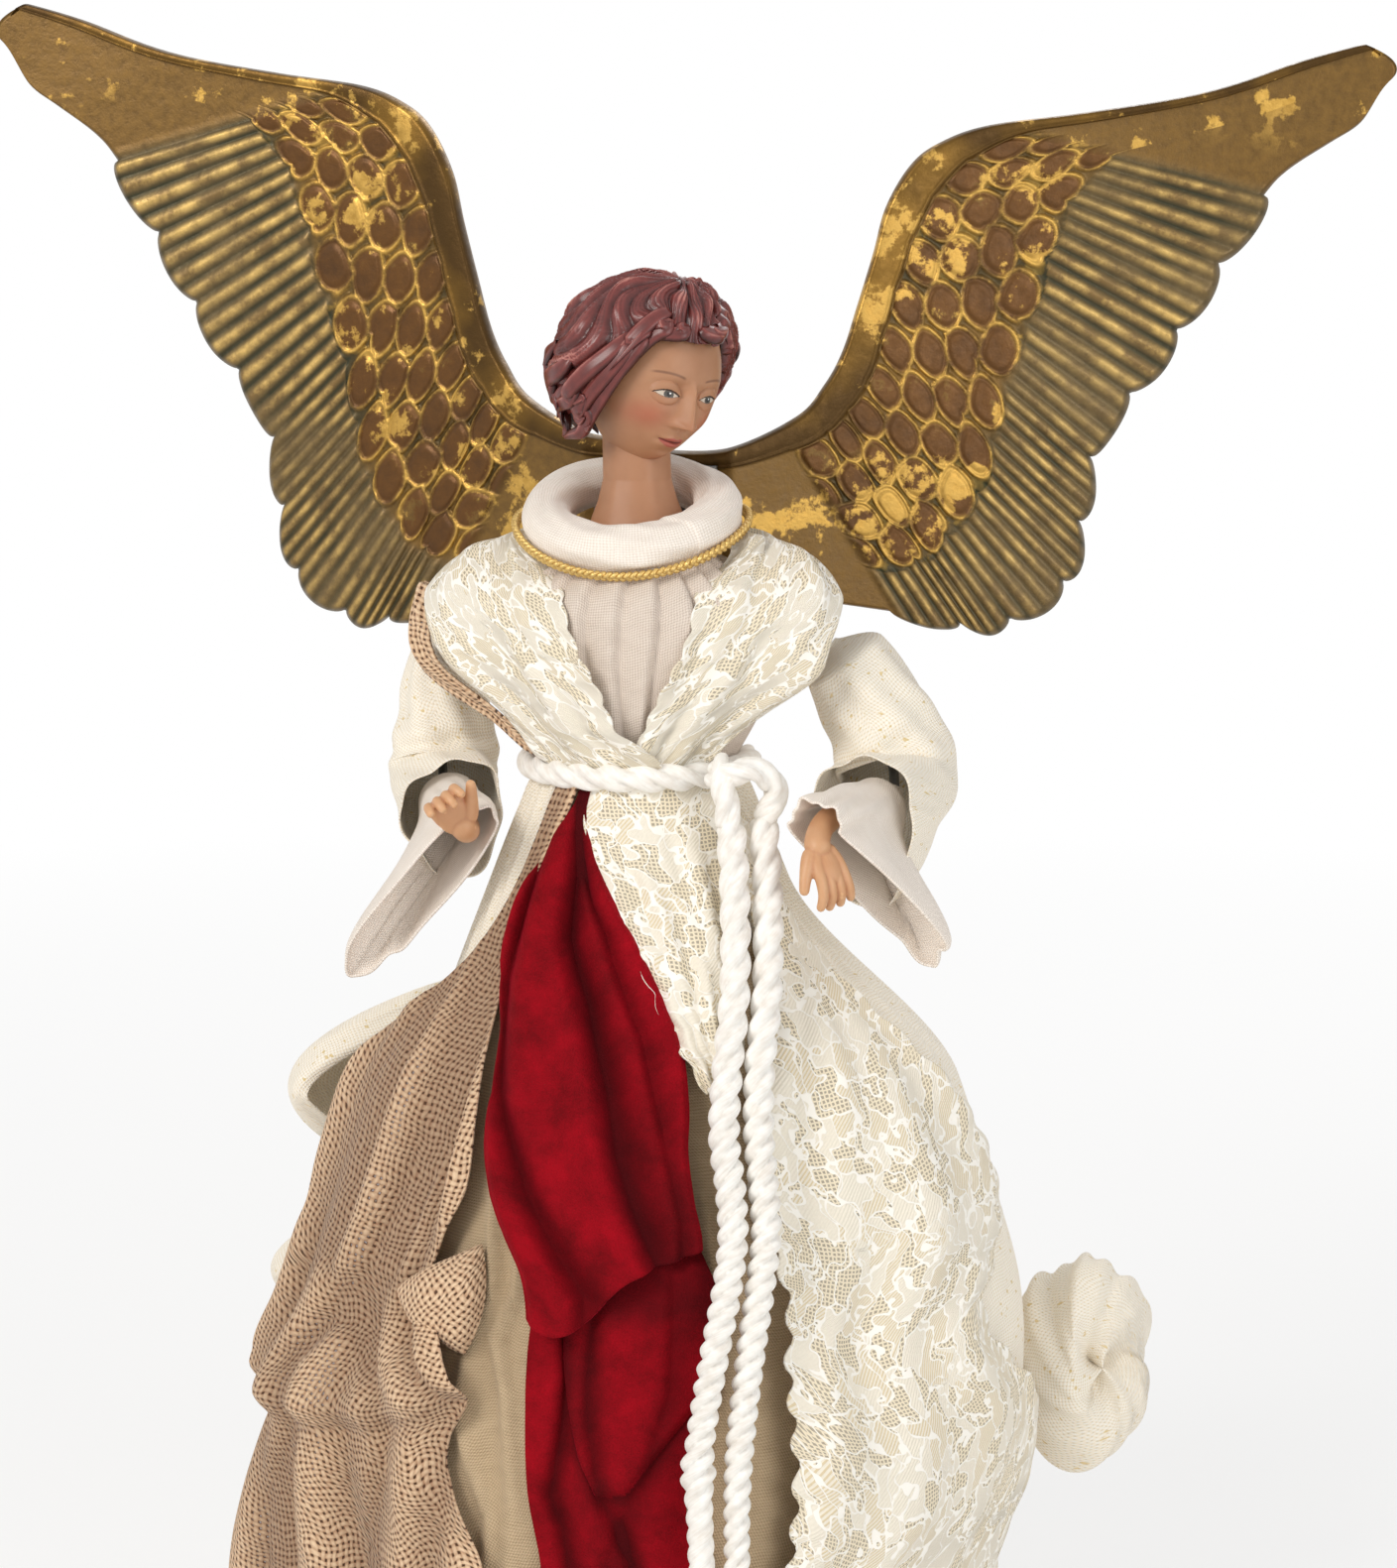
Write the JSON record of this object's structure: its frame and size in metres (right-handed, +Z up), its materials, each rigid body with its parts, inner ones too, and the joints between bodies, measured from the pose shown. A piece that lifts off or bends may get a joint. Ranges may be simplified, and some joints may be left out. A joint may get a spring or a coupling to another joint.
{
  "type": "nativity angel figurine",
  "caption": "Standing angel figurine in layered cloth over a foam form, with cast head and hands, carved gilded wings, a rolled collar and a corded belt.",
  "frame": {"origin": "middle of the felt pad's underside, on the surface that the figure stands on", "axes": "+Z up, the figure faces -Y, and +X is the viewer's right when looking at its face"},
  "size_m": [0.4472, 0.2167, 0.5247],
  "materials": {
    "felt": "green wool felt",
    "wood": "bare turned softwood",
    "steel": "plain steel",
    "foam": "cut foam",
    "skin": "cast resin, painted and waxed",
    "hand": "cast resin, painted and waxed",
    "hair": "cast resin, painted reddish brown",
    "gilding": "worn gold leaf over red-brown ground",
    "linen": "plain white linen",
    "bodice_linen": "pleated beige-pink linen",
    "gauze": "thin cream gauze with gold flecks",
    "lace": "cream corded lace with gold thread",
    "burlap": "open natural burlap",
    "velvet": "crimson velvet",
    "underskirt_linen": "taupe linen",
    "cotton_cord": "twisted white cotton",
    "gold_cord": "braided gold cord"
  },
  "bodies": {
    "root": {"felt_pad": "felt", "base_disc": "wood", "centre_post": "wood", "post_screw": "steel", "skirt_core": "foam", "torso_core": "foam", "head_neck_bust": "skin", "hair": "hair", "wing_bracket": "steel", "bracket_screw_lower": "steel", "bracket_screw_upper": "steel", "left_wing": "gilding", "left_wing_screw_lower": "steel", "left_wing_screw_upper": "steel", "right_wing": "gilding", "right_wing_screw_lower": "steel", "right_wing_screw_upper": "steel", "bodice": "bodice_linen", "collar_roll": "linen", "collar_gold_cord": "gold_cord", "lace_shawl_left": "lace", "lace_shawl_right": "lace", "left_arm_wire": "steel", "left_gauze_sleeve": "gauze", "left_linen_cuff": "linen", "left_hand": "hand", "right_arm_wire": "steel", "right_gauze_sleeve": "gauze", "right_linen_cuff": "linen", "right_hand": "hand", "burlap_shoulder_wrap": "burlap", "belt_cord": "cotton_cord", "belt_knot": "cotton_cord", "cord_tail_left": "cotton_cord", "cord_tail_knot_left": "cotton_cord", "cord_tail_right": "cotton_cord", "cord_tail_knot_right": "cotton_cord", "linen_underskirt": "underskirt_linen", "gauze_overskirt": "gauze", "velvet_drape_upper": "velvet", "velvet_drape_lower": "velvet", "lace_front_panel": "lace", "burlap_side_drape": "burlap", "lace_side_panel": "lace", "gauze_loop_upper": "gauze", "gauze_loop_lower": "gauze", "gauze_rosette": "gauze"}
  },
  "joints": []
}
